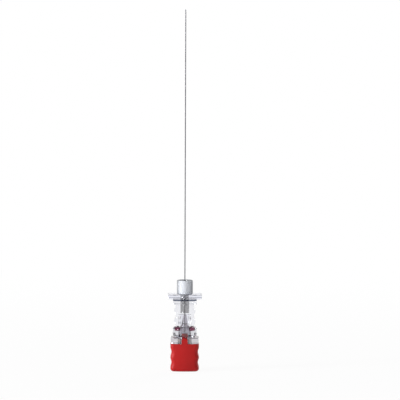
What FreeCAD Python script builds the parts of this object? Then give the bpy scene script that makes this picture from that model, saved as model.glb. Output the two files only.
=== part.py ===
import FreeCAD, Part
import math
import os
import re
import Sketcher

# Spinal needle with its stylet in place, standing on the flat end of the red
# handle. Millimetres. The origin is the middle of the handle's flat end, the
# needle points along +Z, and the ground face of its point faces -Y, the side
# with the handle's tongue. The stylet's three pieces are drawn in this frame.
# The hub, the glue and the steel tube are drawn from the hub's mouth, and are
# lifted together onto the clear plate of the stylet's handle.

DIMENSIONS = [
    ("needle_length", 88.0, "steel tube that stands clear of the hub"),
    ("tube_diameter", 0.34, "outside of the steel tube"),
    ("tube_bore", 0.21, "inside of the steel tube"),
    ("bevel_angle", 19.0, "degrees between the ground face and the axis"),
    ("lancet_angle", 30.0, "degrees between each side facet and the axis"),
    ("lancet_turn", 30.0, "degrees that each side facet is turned round the axis"),
    ("stylet_clearance", 0.015, "gap round the stylet in the steel tube"),
    ("wire_bend_radius", 0.4, "centre line of the bend at the foot of the stylet"),
    ("wire_foot", 1.1, "reach of the bent foot from the axis"),
    ("cap_width", 9.3, "red handle across its side ridges"),
    ("cap_depth", 7.8, "red handle from front to back"),
    ("cap_height", 9.1, "red handle without its tongue"),
    ("cap_bow", 0.5, "how far the front and the back bulge"),
    ("cap_corner", 1.5, "upright corners of the red handle"),
    ("cap_foot_round", 1.0, "rounding round the flat end"),
    ("cap_rim_edge", 0.3, "chamfer round the top of the red handle"),
    ("cap_valley_radius", 3.2, "hollow between two side ridges"),
    ("cap_valley_depth", 0.34, "from the top of a ridge to the floor of a hollow"),
    ("cap_plain_foot", 1.09, "plain band between the flat end and the side waves"),
    ("cap_plain_rim", 1.17, "plain band between the side waves and the top"),
    ("tongue_width", 1.96, "red tongue in front of the clear plate"),
    ("tongue_flat", 0.05, "half the level top of the rounded tongue"),
    ("tongue_root", 1.2, "how far the tongue and key start inside the handle"),
    ("key_width", 1.8, "key behind the tongue, which turns the hub into line"),
    ("key_thickness", 0.55, "key from inside to outside"),
    ("key_inner", 2.3, "inner face of the key from the axis"),
    ("key_reach", 1.4, "how far the key enters the hub"),
    ("key_clearance", 0.06, "gap round the tongue and the key"),
    ("plate_thickness", 1.9, "clear plate of the stylet's handle"),
    ("plate_inset", 0.1, "how far the plate's sides lie inside the ridges"),
    ("plate_edge", 0.18, "chamfers round the clear plate"),
    ("boss_diameter", 3.6, "boss of the clear plate, glued into the handle"),
    ("boss_length", 3.0, "boss below the clear plate"),
    ("bond_gap", 0.01, "bond line round a glued or moulded-in piece"),
    ("foot_room", 0.75, "space under the boss for the stylet's foot"),
    ("seat_gap", 0.05, "gap between the hub's mouth and the clear plate"),
    ("mouth_diameter", 4.30, "taper socket at its mouth"),
    ("socket_taper", 0.06, "loss of diameter for each unit of depth"),
    ("socket_depth", 7.5, "length of the taper socket"),
    ("socket_floor_cone", 0.2, "funnel from the socket to the tube"),
    ("funnel_radius", 1.2, "funnel where it leaves the socket floor"),
    ("plug_clearance", 0.03, "gap between the plug's land and the socket"),
    ("plug_land", 1.9, "length of the plug that fills the socket"),
    ("plug_tip_radius", 0.68, "slender end of the plug"),
    ("plug_tip_gap", 0.2, "plug's end short of the socket floor"),
    ("plug_tip_edge", 0.25, "chamfer round the plug's end"),
    ("plug_waist_radius", 26.0, "hollow flank of the plug"),
    ("hub_length", 18.55, "hub from its mouth to the top of the collar"),
    ("barrel_diameter", 6.7, "round end of the hub"),
    ("barrel_edge", 0.25, "chamfer round the mouth"),
    ("shoulder_base", 2.55, "height where barrel and lugs start to narrow"),
    ("shoulder_top", 3.55, "height where the shoulder meets the body"),
    ("lug_rise", 0.55, "how far the two locking lugs stand out from the barrel"),
    ("lug_base", 0.25, "lowest edge of the lugs"),
    ("lug_edge", 0.35, "slanting lower edge of the lugs"),
    ("lug_sweep", 120.0, "degrees that each lug covers"),
    ("body_inset", 0.4, "how far the body's side ridges lie inside the lugs"),
    ("body_depth", 5.4, "hub's body from front to back"),
    ("body_bow", 0.35, "how far the body's front and back bulge"),
    ("body_corner", 0.9, "upright corners of the hub's body"),
    ("body_valley_radius", 1.8, "hollow between two side ridges of the body"),
    ("body_valley_depth", 0.55, "from the top of a ridge to the floor of a hollow"),
    ("body_valley_height", 3.65, "lowest hollow above the mouth"),
    ("body_valley_pitch", 3.36, "from one hollow to the next"),
    ("flange_height", 10.75, "underside of the rounded flange above the mouth"),
    ("flange_thickness", 1.93, "rounded flange under the grip plate"),
    ("flange_side", 0.4, "how far the flange stands out from the body's sides"),
    ("flange_front", 0.25, "how far the flange stands out from the body's front and back"),
    ("flange_edge", 0.15, "rounding round the underside of the flange"),
    ("flange_bow", 0.6, "how far the flange's front and back bulge"),
    ("flange_corner", 1.0, "upright corners of the flange"),
    ("grip_side", 1.625, "how far the grip plate stands out from the flange's sides"),
    ("grip_front", 0.95, "how far the grip plate stands out from the flange's front and back"),
    ("grip_bow", 0.12, "how far the grip plate's front and back bulge"),
    ("grip_thickness", 1.27, "finger grip plate"),
    ("grip_corner", 1.1, "upright corners of the grip plate"),
    ("grip_edge", 0.18, "chamfers round the grip plate"),
    ("collar_diameter", 5.2, "frosted collar round the needle's root"),
    ("collar_foot", 0.45, "slanting foot of the collar"),
    ("collar_rim", 0.25, "chamfer round the top of the collar"),
    ("well_diameter", 2.7, "glue well round the steel tube"),
    ("well_floor", 7.95, "floor of the glue well above the mouth"),
    ("well_mouth", 0.25, "chamfer round the top of the well"),
    ("glue_drop", 0.75, "glue's edge below the top of the collar"),
    ("glue_climb", 0.35, "how far the glue climbs the steel tube"),
    ("cut_margin", 0.4, "how far a cutting shape runs past what it cuts"),
]

# Sizes that follow from those above, written once and used by name below.
DERIVED = {
    "cap_valley_pitch": "((cap_height - cap_plain_foot - cap_plain_rim) / 2)",
    "cap_valley_height": "(cap_plain_foot + cap_valley_pitch / 2)",
    "plate_top": "(cap_height + plate_thickness)",
    "hub_base": "(plate_top + seat_gap)",
    "tube_radius": "(tube_diameter / 2)",
    "wire_radius": "(tube_bore / 2 - stylet_clearance)",
    "tip_height": "(hub_length + needle_length)",
    "tube_foot": "(socket_depth + socket_floor_cone)",
    "cap_front_radius": "((cap_width * cap_width / 4 + cap_bow * cap_bow) / (2 * cap_bow))",
    "tongue_sag": "(cap_front_radius - sqrt(cap_front_radius * cap_front_radius"
                  " - tongue_width * tongue_width / 4))",
    "key_outer": "(key_inner + key_thickness)",
    "foot_height": "(cap_height - boss_length - wire_bend_radius - bond_gap)",
    "socket_floor_radius": "(mouth_diameter / 2 - socket_taper * socket_depth / 2)",
    "plug_mouth_radius": "(mouth_diameter / 2 - plug_clearance)",
    "plug_land_radius": "(plug_mouth_radius - socket_taper * plug_land / 2)",
    "plug_top": "(hub_base + socket_depth - plug_tip_gap)",
    "lug_radius": "(barrel_diameter / 2 + lug_rise)",
    "body_width": "(2 * (lug_radius - body_inset))",
    "shoulder_radius": "(body_width / 2 - body_valley_depth)",
    "flange_width": "(body_width + 2 * flange_side)",
    "flange_depth": "(body_depth + 2 * flange_front)",
    "grip_width": "(flange_width + 2 * grip_side)",
    "grip_depth": "(flange_depth + 2 * grip_front)",
    "grip_base": "(flange_height + flange_thickness)",
    "collar_base": "(grip_base + grip_thickness)",
    "well_radius": "(well_diameter / 2)",
    "glue_edge": "(hub_length - glue_drop)",
    "glue_inner": "(tube_radius + bond_gap)",
    "glue_outer": "(well_radius - bond_gap)",
}

UP = 1
DOWN = -1
LEFT = 1
RIGHT = -1

doc = FreeCAD.newDocument("SpinalNeedle")
sheet = doc.addObject("Spreadsheet::Sheet", "Dimensions")
for row, (alias, size, note) in enumerate(DIMENSIONS, start=1):
    sheet.set(f"A{row}", alias)
    sheet.set(f"B{row}", str(size))
    sheet.set(f"C{row}", note)
    sheet.setAlias(f"B{row}", alias)
doc.recompute()
ALIASES = {alias for alias, size, note in DIMENSIONS}


def bound(size):
    """Write a size, given with the names above, in terms of the sheet's cells."""
    def cell(match):
        name = match.group(0)
        if name in DERIVED:
            return bound(DERIVED[name])
        return f"Dimensions.{name}" if name in ALIASES else name
    return re.sub(r"[a-z][a-z_]+", cell, size)


def value(size):
    """Number that a size stands for now, in millimetres or degrees."""
    return float(sheet.evalExpression(bound(size)))


def new_body(label, lift=None):
    """Body of one piece, lifted along Z when it is drawn from its own foot."""
    body = doc.addObject("PartDesign::Body", label)
    body.Label = label
    if lift:
        body.setExpression("Placement.Base.z", bound(lift))
    return body


def origin_feature(body, role):
    """Plane or axis of the body's own origin."""
    return next(item for item in body.Origin.OriginFeatures if item.Role == role)


def new_sketch(body, name, plane, lift=None, turn=None):
    """Sketch on an origin plane, lifted along its normal or turned round the axis."""
    sketch = body.newObject("Sketcher::SketchObject", name)
    sketch.AttachmentSupport = (origin_feature(body, plane), [""])
    sketch.MapMode = "FlatFace"
    if lift:
        sketch.setExpression("AttachmentOffset.Base.z", bound(lift))
    if turn:
        upright = FreeCAD.Rotation(FreeCAD.Vector(0, 1, 0), value(turn))
        sketch.AttachmentOffset = FreeCAD.Placement(FreeCAD.Vector(), upright)
        sketch.setExpression("AttachmentOffset.Rotation.Angle", bound(turn))
    return sketch


def tie(sketch, name, constraint, size):
    """Add a driving constraint and bind it to a size."""
    index = sketch.addConstraint(constraint)
    sketch.renameConstraint(index, name)
    sketch.setExpression(f"Constraints.{name}", bound(size))


def tie_point(sketch, name, geometry, end, across, along):
    """Hold one point of a sketch at two sizes measured from the sketch's origin."""
    for kind, axis, size in (("DistanceX", -2, across), ("DistanceY", -1, along)):
        if size == "0":
            sketch.addConstraint(Sketcher.Constraint("PointOnObject", geometry, end, axis))
        else:
            constraint = Sketcher.Constraint(kind, -1, 1, geometry, end, value(size))
            tie(sketch, f"{name}_{kind[-1].lower()}", constraint, size)


def arc_between(start, end, radius, side):
    """Short arc from start to end, with its centre to the left or right of that way."""
    chord = end - start
    across = FreeCAD.Vector(-chord.y, chord.x, 0).normalize()
    reach = math.sqrt(radius ** 2 - (chord.Length / 2) ** 2)
    centre = (start + end) / 2 + across * (side * reach)
    angles = [math.atan2(point.y - centre.y, point.x - centre.x) for point in (start, end)]
    if side < 0:
        angles.reverse()
    circle = Part.Circle(centre, FreeCAD.Vector(0, 0, 1), radius)
    return Part.ArcOfCircle(circle, *angles)


def draw_outline(sketch, corners, arcs=None, closed=True):
    """Draw lines from corner to corner, and arcs where they are given.

    A corner is a pair of sizes. An arc is given under the number of the corner
    that it starts from, as its radius and the side of its centre.
    """
    arcs = arcs or {}
    points = [FreeCAD.Vector(value(across), value(along), 0) for across, along in corners]
    count = len(points) if closed else len(points) - 1
    ends = []
    for number in range(count):
        start, end = points[number], points[(number + 1) % len(points)]
        if number in arcs:
            radius, side = arcs[number]
            sketch.addGeometry(arc_between(start, end, value(radius), side))
            tie(sketch, f"radius_{number}",
                Sketcher.Constraint("Radius", number, value(radius)), radius)
            ends.append((1, 2) if side > 0 else (2, 1))
        else:
            sketch.addGeometry(Part.LineSegment(start, end))
            ends.append((1, 2))
    for number in range(count if closed else count - 1):
        after = (number + 1) % count
        sketch.addConstraint(Sketcher.Constraint(
            "Coincident", number, ends[number][1], after, ends[after][0]))
    for number in range(len(points)):
        piece = min(number, count - 1)
        end = ends[piece][0] if number < count else ends[piece][1]
        tie_point(sketch, f"corner_{number}", piece, end, *corners[number])


def draw_circle(sketch, name, radius, across="0", along="0"):
    """Draw a circle about a point given by two sizes."""
    centre = FreeCAD.Vector(value(across), value(along), 0)
    circle = Part.Circle(centre, FreeCAD.Vector(0, 0, 1), value(radius))
    number = sketch.addGeometry(circle)
    tie(sketch, f"{name}_radius", Sketcher.Constraint("Radius", number, value(radius)), radius)
    tie_point(sketch, name, number, 3, across, along)


def draw_bowed_plan(sketch, width, depth, bow):
    """Draw a plan with straight sides, whose front and back bulge outwards."""
    side = f"{width} / 2"
    shoulder = f"({depth} / 2 - {bow})"
    radius = f"({width} * {width} / 4 + {bow} * {bow}) / (2 * {bow})"
    corners = [(f"-{side}", f"-{shoulder}"), (side, f"-{shoulder}"),
               (side, shoulder), (f"-{side}", shoulder)]
    draw_outline(sketch, corners, {0: (radius, LEFT), 2: (radius, LEFT)})


def draw_rectangle(sketch, left, right, low, high):
    """Draw an upright rectangle between four sizes."""
    draw_outline(sketch, [(left, low), (right, low), (right, high), (left, high)])


def pad(body, name, sketch, length):
    """Raise a sketch by a length along its normal."""
    feature = body.newObject("PartDesign::Pad", name)
    feature.Profile = (sketch, [""])
    feature.setExpression("Length", bound(length))
    return feature


def pocket(body, name, sketch, depth=None):
    """Cut a sketch to a depth against its normal, or right through both ways."""
    feature = body.newObject("PartDesign::Pocket", name)
    feature.Profile = (sketch, [""])
    if depth:
        feature.setExpression("Length", bound(depth))
    else:
        feature.Type = "ThroughAll"
        feature.Midplane = True
    return feature


def revolve(body, name, sketch, kind="Revolution", sweep=None):
    """Turn a sketch round the Z axis, all the way or by a sweep about its plane."""
    feature = body.newObject(f"PartDesign::{kind}", name)
    feature.Profile = (sketch, [""])
    feature.ReferenceAxis = (sketch, ["V_Axis"])
    if sweep:
        feature.Midplane = True
        feature.setExpression("Angle", bound(sweep))
    else:
        feature.Angle = 360.0
    return feature


def repeat_opposite(body, name, original):
    """Repeat a feature on the other side of the Z axis."""
    pattern = body.newObject("PartDesign::PolarPattern", name)
    pattern.Originals = [original]
    pattern.Axis = (origin_feature(body, "Z_Axis"), [""])
    pattern.Angle = 360.0
    pattern.Occurrences = 2
    body.Tip = pattern
    return pattern


def dress_edges(body, name, kind, size, rule):
    """Fillet or chamfer the edges of the body's last feature that pass a rule.

    The rule is asked about each edge and its middle point.
    """
    doc.recompute()
    base = body.Tip
    names = []
    for number, edge in enumerate(base.Shape.Edges, start=1):
        middle = edge.valueAt((edge.FirstParameter + edge.LastParameter) / 2)
        if rule(edge, middle):
            names.append(f"Edge{number}")
    feature = body.newObject(f"PartDesign::{kind}", name)
    feature.Base = (base, names)
    feature.setExpression("Radius" if kind == "Fillet" else "Size", bound(size))
    return feature


def near(number, size, slack=0.01):
    """Say whether a coordinate lies at a size."""
    return abs(number - value(size)) < slack


def is_upright(edge):
    """Say whether an edge is straight and along Z."""
    box = edge.BoundBox
    return box.XLength + box.YLength < 0.01 * box.ZLength


def round_corners(body, name, radius, width):
    """Round the upright corners that lie at the ends of a width."""
    return dress_edges(body, name, "Fillet", radius,
                       lambda edge, middle: is_upright(edge)
                       and near(abs(middle.x), f"{width} / 2"))


def dress_rim(body, name, kind, size, height, facing):
    """Fillet or chamfer the outline of a level face that looks up or down."""
    doc.recompute()
    rim = []
    for face in body.Tip.Shape.Faces:
        if not isinstance(face.Surface, Part.Plane):
            continue
        if near(face.normalAt(0, 0).z, str(facing)) and near(face.CenterOfMass.z, height):
            rim.extend(face.OuterWire.Edges)
    return dress_edges(body, name, kind, size,
                       lambda edge, middle: any(edge.isSame(other) for other in rim))


def cut_side_waves(body, name, width, radius, depth, height, pitch, hollows):
    """Cut level hollows with rounded ridges between them into both sides."""
    both_radii = f"(({pitch} * {pitch} / 4 + {depth} * {depth}) / (2 * {depth}))"
    ridge_radius = f"({both_radii} - {radius})"
    side = f"({width} / 2)"
    meeting = f"({side} - {depth} * {ridge_radius} / {both_radii})"
    half_hollow = f"({pitch} / 2 * {radius} / {both_radii})"
    low = f"({height} - {pitch} / 2)"
    high = f"({height} + {hollows} * {pitch} - {pitch} / 2)"
    corners = [(side, low)]
    arcs = {0: (ridge_radius, LEFT)}
    for hollow in range(hollows):
        middle = f"({height} + {hollow} * {pitch})"
        arcs[len(corners)] = (radius, RIGHT)
        corners.append((meeting, f"{middle} - {half_hollow}"))
        arcs[len(corners)] = (ridge_radius, LEFT)
        corners.append((meeting, f"{middle} + {half_hollow}"))
    corners += [(side, high), (f"{side} + cut_margin", high), (f"{side} + cut_margin", low)]
    sketch = new_sketch(body, f"{name}_sketch", "XZ_Plane")
    draw_outline(sketch, corners, arcs)
    cut = pocket(body, name, sketch)
    return repeat_opposite(body, f"{name}_both", cut)


def cut_point(body, name, angle, radius, tip, turn=None):
    """Grind one flat face through the point of a tube or wire."""
    sketch = new_sketch(body, f"{name}_sketch", "YZ_Plane", turn=turn)
    reach = f"{radius} * cos({turn} * 1 deg)" if turn else radius
    front = "(tube_radius + cut_margin)"
    low = f"({tip} - ({reach} + {front}) / tan({angle} * 1 deg))"
    high = f"({tip} + ({front} - {reach}) / tan({angle} * 1 deg))"
    draw_outline(sketch, [(f"-{front}", low), (front, high), (f"-{front}", high)])
    return pocket(body, name, sketch)


def build_handle_cap():
    """Red handle of the stylet, with the tongue and the key at its front."""
    body = new_body("handle_cap")
    plan = new_sketch(body, "cap_plan", "XY_Plane")
    draw_bowed_plan(plan, "cap_width", "cap_depth", "cap_bow")
    pad(body, "cap_block", plan, "cap_height")
    round_corners(body, "cap_corners", "cap_corner", "cap_width")
    cut_side_waves(body, "cap_waves", "cap_width", "cap_valley_radius", "cap_valley_depth",
                   "cap_valley_height", "cap_valley_pitch", hollows=2)
    dress_rim(body, "cap_foot", "Fillet", "cap_foot_round", "0", DOWN)
    dress_rim(body, "cap_rim", "Chamfer", "cap_rim_edge", "cap_height", UP)

    root = "(cap_height - tongue_root)"
    tongue = new_sketch(body, "tongue_plan", "XY_Plane", lift=root)
    front = "-(cap_depth / 2 - tongue_sag)"
    corners = [("-tongue_width / 2", front), ("tongue_width / 2", front),
               ("tongue_width / 2", "-key_inner"), ("-tongue_width / 2", "-key_inner")]
    draw_outline(tongue, corners, {0: ("cap_front_radius", LEFT)})
    pad(body, "tongue", tongue, "tongue_root + plate_thickness")
    dress_edges(body, "tongue_top", "Fillet", "tongue_width / 2 - tongue_flat",
                lambda edge, middle: near(middle.z, "plate_top")
                and near(abs(middle.x), "tongue_width / 2"))
    key = new_sketch(body, "key_plan", "XY_Plane", lift=root)
    draw_rectangle(key, "-key_width / 2", "key_width / 2", "-key_outer", "-key_inner")
    pad(body, "key", key, f"hub_base + key_reach - {root}")

    seat = new_sketch(body, "boss_seat_plan", "XY_Plane", lift="cap_height")
    draw_circle(seat, "seat", "boss_diameter / 2 + bond_gap")
    pocket(body, "boss_seat", seat, "boss_length + foot_room")
    return body


def build_stylet_plug():
    """Clear plate and slender plug of the stylet's handle, moulded as one."""
    body = new_body("stylet_plug")
    plan = new_sketch(body, "plate_plan", "XY_Plane", lift="cap_height")
    width = "(cap_width - 2 * plate_inset)"
    draw_bowed_plan(plan, width, "(cap_depth - 2 * plate_inset)", "cap_bow")
    pad(body, "plate", plan, "plate_thickness")
    round_corners(body, "plate_corners", "cap_corner", width)
    dress_rim(body, "plate_top_edge", "Chamfer", "plate_edge", "plate_top", UP)
    dress_rim(body, "plate_lower_edge", "Chamfer", "plate_edge", "cap_height", DOWN)

    notch = new_sketch(body, "tongue_notch_plan", "XY_Plane", lift="plate_top")
    draw_rectangle(notch, "-(tongue_width / 2 + key_clearance)", "tongue_width / 2 + key_clearance",
                   "-cap_depth", "-(key_inner - key_clearance)")
    pocket(body, "tongue_notch", notch)

    profile = new_sketch(body, "plug_profile", "XZ_Plane")
    boss_foot = "(cap_height - boss_length)"
    root = "(plate_top - bond_gap)"
    corners = [("0", boss_foot), ("boss_diameter / 2", boss_foot),
               ("boss_diameter / 2", root), ("plug_mouth_radius", root),
               ("plug_mouth_radius", "hub_base"), ("plug_land_radius", "hub_base + plug_land"),
               ("plug_tip_radius", "plug_top - plug_tip_edge"),
               ("plug_tip_radius - plug_tip_edge", "plug_top"), ("0", "plug_top")]
    draw_outline(profile, corners, {5: ("plug_waist_radius", RIGHT)})
    revolve(body, "plug", profile)

    hole = new_sketch(body, "wire_hole_plan", "XY_Plane")
    draw_circle(hole, "hole", "wire_radius + bond_gap")
    pocket(body, "wire_hole", hole)
    return body


def build_stylet_wire():
    """Steel stylet, bent under the boss and ground flush with the needle's face."""
    body = new_body("stylet_wire")
    tip = "(hub_base + tip_height)"
    path = new_sketch(body, "wire_path", "XZ_Plane")
    corners = [("0", f"{tip}"), ("0", "foot_height + wire_bend_radius"),
               ("wire_bend_radius", "foot_height"), ("wire_foot", "foot_height")]
    draw_outline(path, corners, {1: ("wire_bend_radius", LEFT)}, closed=False)
    section = new_sketch(body, "wire_section", "XY_Plane", lift=tip)
    draw_circle(section, "wire", "wire_radius")
    pipe = body.newObject("PartDesign::AdditivePipe", "wire")
    pipe.Profile = (section, [""])
    pipe.Spine = (path, ["Edge1", "Edge2", "Edge3"])
    cut_point(body, "wire_bevel", "bevel_angle", "tube_radius", tip)
    return body


def build_hub():
    """Clear hub, moulded in one, with its lugs, grips, collar and bores."""
    body = new_body("hub", lift="hub_base")
    block_base = "(lug_base + lug_edge)"
    plan = new_sketch(body, "body_plan", "XY_Plane", lift=block_base)
    draw_bowed_plan(plan, "body_width", "body_depth", "body_bow")
    pad(body, "body_block", plan, f"grip_base - {block_base}")
    round_corners(body, "body_corners", "body_corner", "body_width")
    cut_side_waves(body, "body_waves", "body_width", "body_valley_radius", "body_valley_depth",
                   "body_valley_height", "body_valley_pitch", hollows=3)

    barrel = new_sketch(body, "barrel_profile", "XZ_Plane")
    draw_outline(barrel, [("0", "0"), ("barrel_diameter / 2 - barrel_edge", "0"),
                          ("barrel_diameter / 2", "barrel_edge"),
                          ("barrel_diameter / 2", "shoulder_base"),
                          ("shoulder_radius", "shoulder_top"), ("0", "shoulder_top")])
    revolve(body, "barrel", barrel)
    lug = new_sketch(body, "lug_profile", "XZ_Plane")
    inside = "(shoulder_radius - lug_rise)"
    draw_outline(lug, [(inside, "lug_base"), ("lug_radius - lug_edge", "lug_base"),
                       ("lug_radius", "lug_base + lug_edge"), ("lug_radius", "shoulder_base"),
                       ("shoulder_radius", "shoulder_top"), (inside, "shoulder_top")])
    repeat_opposite(body, "lugs", revolve(body, "lug", lug, sweep="lug_sweep"))

    flange = new_sketch(body, "flange_plan", "XY_Plane", lift="flange_height")
    draw_bowed_plan(flange, "flange_width", "flange_depth", "flange_bow")
    pad(body, "flange", flange, "flange_thickness")
    round_corners(body, "flange_corners", "flange_corner", "flange_width")
    grip = new_sketch(body, "grip_plan", "XY_Plane", lift="grip_base")
    draw_bowed_plan(grip, "grip_width", "grip_depth", "grip_bow")
    pad(body, "grip_plate", grip, "grip_thickness")
    round_corners(body, "grip_corners", "grip_corner", "grip_width")
    dress_rim(body, "flange_lower_edge", "Fillet", "flange_edge", "flange_height", DOWN)
    dress_rim(body, "grip_lower_edge", "Chamfer", "grip_edge", "grip_base", DOWN)
    dress_rim(body, "grip_top_edge", "Chamfer", "grip_edge", "collar_base", UP)
    collar = new_sketch(body, "collar_profile", "XZ_Plane")
    wall = "(collar_diameter / 2)"
    root = "(collar_base - grip_edge)"
    draw_outline(collar, [("0", root), (f"{wall} - collar_foot", root),
                          (f"{wall} - collar_foot", "collar_base"),
                          (wall, "collar_base + collar_foot"),
                          (wall, "hub_length - collar_rim"),
                          (f"{wall} - collar_rim", "hub_length"), ("0", "hub_length")])
    revolve(body, "collar", collar)

    bore = new_sketch(body, "bore_profile", "XZ_Plane")
    hole = "(tube_radius + bond_gap)"
    draw_outline(bore, [("0", "0"), ("mouth_diameter / 2", "0"),
                        ("socket_floor_radius", "socket_depth"), ("funnel_radius", "socket_depth"),
                        (hole, "tube_foot"), (hole, "well_floor"), ("well_radius", "well_floor"),
                        ("well_radius", "hub_length - well_mouth"),
                        ("well_radius + well_mouth", "hub_length"), ("0", "hub_length")])
    revolve(body, "bores", bore, kind="Groove")
    keyway = new_sketch(body, "keyway_plan", "XY_Plane")
    draw_rectangle(keyway, "-(key_width / 2 + key_clearance)", "key_width / 2 + key_clearance",
                   "-(key_outer + key_clearance)", "0")
    slot = pocket(body, "keyway", keyway, "key_reach + key_clearance")
    slot.Reversed = True
    return body


def build_cannula():
    """Steel tube with its ground point, seated on the funnel of the hub."""
    body = new_body("cannula", lift="hub_base")
    section = new_sketch(body, "tube_section", "XY_Plane", lift="tube_foot")
    draw_circle(section, "outside", "tube_radius")
    draw_circle(section, "bore", "tube_bore / 2")
    pad(body, "tube", section, "tip_height + cut_margin - tube_foot")
    cut_point(body, "bevel", "bevel_angle", "tube_radius", "tip_height")
    cut_point(body, "lancet_right", "lancet_angle", "tube_radius", "tip_height", turn="lancet_turn")
    cut_point(body, "lancet_left", "lancet_angle", "tube_radius", "tip_height", turn="-lancet_turn")
    return body


def build_adhesive_plug():
    """Glue that holds the steel tube in the hub's well."""
    body = new_body("adhesive_plug", lift="hub_base")
    profile = new_sketch(body, "glue_profile", "XZ_Plane")
    draw_outline(profile, [("glue_inner", "well_floor"), ("glue_outer", "well_floor"),
                           ("glue_outer", "glue_edge"), ("glue_inner", "glue_edge + glue_climb")])
    revolve(body, "glue", profile)
    return body


def check_document(bodies):
    """Stop when any object failed or any piece is not one valid solid."""
    doc.recompute()
    for item in doc.Objects:
        if "Invalid" in item.State or "Error" in item.State:
            raise RuntimeError(f"{item.Label} could not be built: {item.State}")
    for body in bodies:
        shape = body.Shape
        if shape.isNull() or not shape.isValid() or len(shape.Solids) != 1:
            raise RuntimeError(f"{body.Label} is not one valid solid")


def main():
    """Build every piece, check it and write it to its own file."""
    bodies = [build_handle_cap(), build_stylet_plug(), build_stylet_wire(),
              build_hub(), build_adhesive_plug(), build_cannula()]
    check_document(bodies)
    os.makedirs("parts", exist_ok=True)
    for body in bodies:
        body.Shape.exportStep(os.path.join("parts", f"{body.Label}.step"))
        print(f"{body.Label}: {body.Shape.Volume:.4f} mm3")


main()
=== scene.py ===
"""Spinal needle with its stylet in place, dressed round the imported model.

The red handle stands on the floor, the needle points along +Z, and the ground
face of its point looks towards -Y, where the camera stands. The pieces hold
their sizes in millimetres, and the studio holds its own in metres.
"""

import logging
import math
from contextlib import contextmanager
from dataclasses import dataclass, replace
from enum import Enum
from typing import Callable, Iterator, Sequence

import bmesh
import bpy
from mathutils import Matrix, Vector


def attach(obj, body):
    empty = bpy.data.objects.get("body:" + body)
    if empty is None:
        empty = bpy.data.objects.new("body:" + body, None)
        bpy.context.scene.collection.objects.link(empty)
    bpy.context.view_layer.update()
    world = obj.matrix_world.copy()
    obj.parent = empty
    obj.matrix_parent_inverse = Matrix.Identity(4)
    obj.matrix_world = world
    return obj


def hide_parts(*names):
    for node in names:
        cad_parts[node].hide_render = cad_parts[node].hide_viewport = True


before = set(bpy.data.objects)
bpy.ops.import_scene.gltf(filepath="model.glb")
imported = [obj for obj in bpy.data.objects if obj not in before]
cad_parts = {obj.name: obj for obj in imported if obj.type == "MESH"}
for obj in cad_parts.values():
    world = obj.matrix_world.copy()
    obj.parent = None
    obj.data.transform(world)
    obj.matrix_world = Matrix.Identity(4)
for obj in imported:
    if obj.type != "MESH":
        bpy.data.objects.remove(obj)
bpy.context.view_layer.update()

MM = 0.001
log = logging.getLogger("spinal_needle")

Colour = tuple[float, float, float]
Point = tuple[float, float, float]
Reach = Callable[[float], float]
Rule = Callable[[Vector, Vector], bool]
Piece = bpy.types.Object
Material = bpy.types.Material
Tree = bpy.types.NodeTree
Socket = bpy.types.NodeSocket


class Body(Enum):
    """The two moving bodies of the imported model."""

    STYLET = "stylet"
    NEEDLE = "needle"


class Cut(Enum):
    """What a boolean modifier does with the tool's shape."""

    JOIN = "UNION"
    REMOVE = "DIFFERENCE"


# Outlines and rings, in millimetres

LEAST_CORNER = 0.05


@dataclass(frozen=True)
class Disc:
    """A round outline.

    Attributes:
        radius: Reach in every direction, in millimetres.
    """

    radius: float

    def inset(self, gap: float) -> "Disc":
        """The same outline drawn in by a gap."""
        return Disc(self.radius - gap)

    def reach(self, angle: float) -> float:
        """Distance from the axis to the outline, the same at every angle."""
        return self.radius


@dataclass(frozen=True)
class BowedPlan:
    """A plan with straight sides, a bulging front and back, and round corners.

    Attributes:
        width: From side to side along X, in millimetres.
        depth: From front to back along Y at the middle.
        bow: How far the front and the back bulge.
        corner: Radius of the four upright corners.
    """

    width: float
    depth: float
    bow: float
    corner: float

    def inset(self, gap: float) -> "BowedPlan":
        """The same plan with its outline drawn in by a gap."""
        return BowedPlan(self.width - 2 * gap, self.depth - 2 * gap, self.bow,
                         max(self.corner - gap, LEAST_CORNER))

    def reach(self, angle: float) -> float:
        """Find the distance from the axis to the outline.

        Args:
            angle: Direction round the axis, in radians from +X.

        Returns:
            The distance in millimetres.
        """
        ray = Vector((abs(math.cos(angle)), abs(math.sin(angle))))
        side = self.width / 2
        span = side * side + self.bow * self.bow
        radius = span / (2 * self.bow)
        centre = Vector((0, self.depth / 2 - radius))
        corner_x = side - self.corner
        corner_y = centre.y + math.sqrt((radius - self.corner) ** 2 - corner_x ** 2)
        corner = Vector((corner_x, corner_y))
        if ray.x > 0 and side / ray.x * ray.y <= corner.y:
            return side / ray.x
        front = self._far_hit(ray, centre, radius)
        tangent = centre + (corner - centre).normalized() * radius
        if front * ray.x <= tangent.x:
            return front
        return self._far_hit(ray, corner, self.corner)

    @staticmethod
    def _far_hit(ray: Vector, centre: Vector, radius: float) -> float:
        """Distance along a ray from the axis to the far side of a circle."""
        along = ray.dot(centre)
        return along + math.sqrt(max(along ** 2 - centre.length_squared + radius ** 2, 0))


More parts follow.
